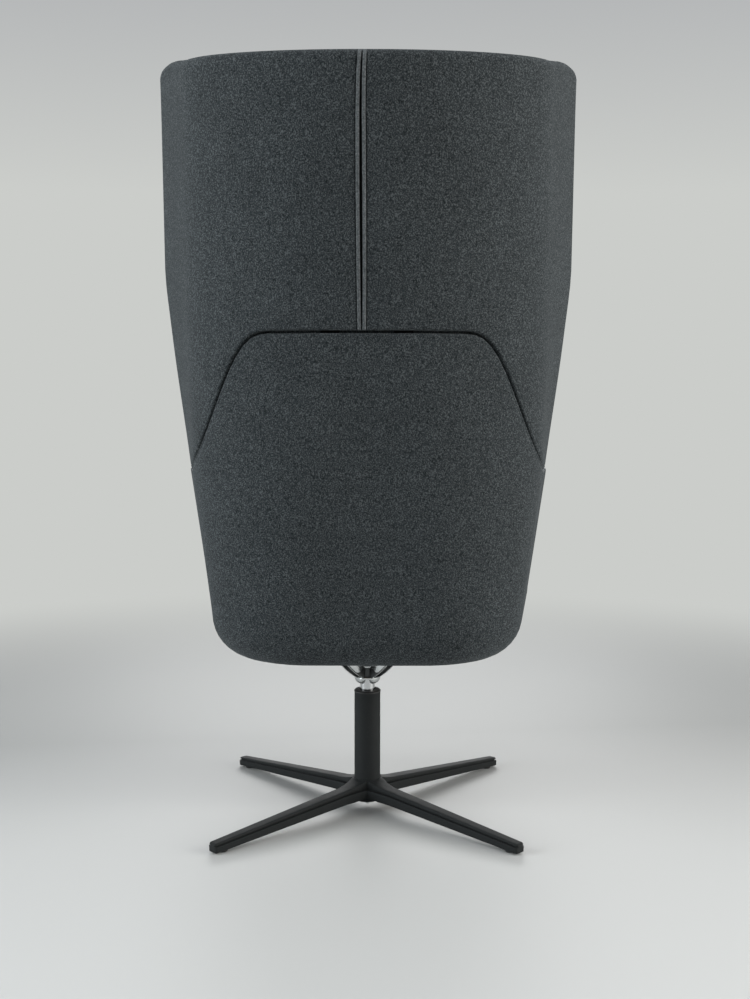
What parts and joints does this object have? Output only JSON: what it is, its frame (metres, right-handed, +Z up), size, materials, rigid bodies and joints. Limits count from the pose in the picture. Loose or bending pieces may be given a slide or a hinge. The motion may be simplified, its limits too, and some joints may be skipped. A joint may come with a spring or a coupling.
{
  "type": "lounge chair",
  "caption": "High back lounge chair with an upholstered acoustic hood over an armchair shell, loose seat and back cushions, and a swivelling star base.",
  "frame": {"origin": "on the floor, on the swivel axis at the middle of the star base", "axes": "+Z up, the sitter faces -Y, +X to the sitter's left"},
  "size_m": [0.787, 0.7222, 1.4063],
  "materials": {
    "powder_black": "fine black powder coat, satin",
    "glide_plastic": "black moulded plastic",
    "dark_steel": "dark zinc-nickel steel",
    "zinc_steel": "zinc-plated steel",
    "buffer_rubber": "black rubber",
    "cage_plastic": "natural moulded plastic",
    "bright_chrome": "polished chrome plating",
    "polished_aluminium": "polished cast aluminium",
    "plywood": "moulded beech plywood, uncoated",
    "black_cloth": "thin black non-woven cloth",
    "wool_outside": "blue-grey wool felt, matt",
    "wool_inside": "blue-grey wool felt over foam, matt",
    "wool_seat": "blue-grey wool felt over soft foam, matt"
  },
  "bodies": {
    "base": {"four_star_base": "powder_black", "foot_glides": "glide_plastic", "column_tube": "powder_black", "column_end_plate": "dark_steel", "column_rod": "zinc_steel", "rod_washer": "zinc_steel", "rod_clip": "dark_steel", "buffer_ring": "buffer_rubber", "lower_race": "zinc_steel", "ball_cage": "cage_plastic", "thrust_balls": "zinc_steel", "column_bush": "glide_plastic"},
    "seat": {"upper_race": "zinc_steel", "column_shaft": "bright_chrome", "spider": "polished_aluminium", "spider_washers": "zinc_steel", "spider_bolts": "dark_steel", "t_nuts": "zinc_steel", "seat_board": "plywood", "board_screws": "zinc_steel", "dust_cover": "black_cloth", "front_rail": "wool_outside", "lower_shell": "plywood", "lower_cover": "wool_outside", "lower_lining": "wool_inside", "hood_shell": "plywood", "hood_cover_left": "wool_outside", "hood_cover_right": "wool_outside", "hood_lining": "wool_inside", "joining_straps": "dark_steel", "strap_screws": "zinc_steel", "seat_cushion": "wool_seat", "back_cushion": "wool_seat"}
  },
  "joints": [
    {"name": "seat_swivel", "type": "hinge", "parent": "base", "child": "seat", "pos_m": [0, 0, 0.226], "axis": [0, 0, 1], "continuous": true}
  ]
}
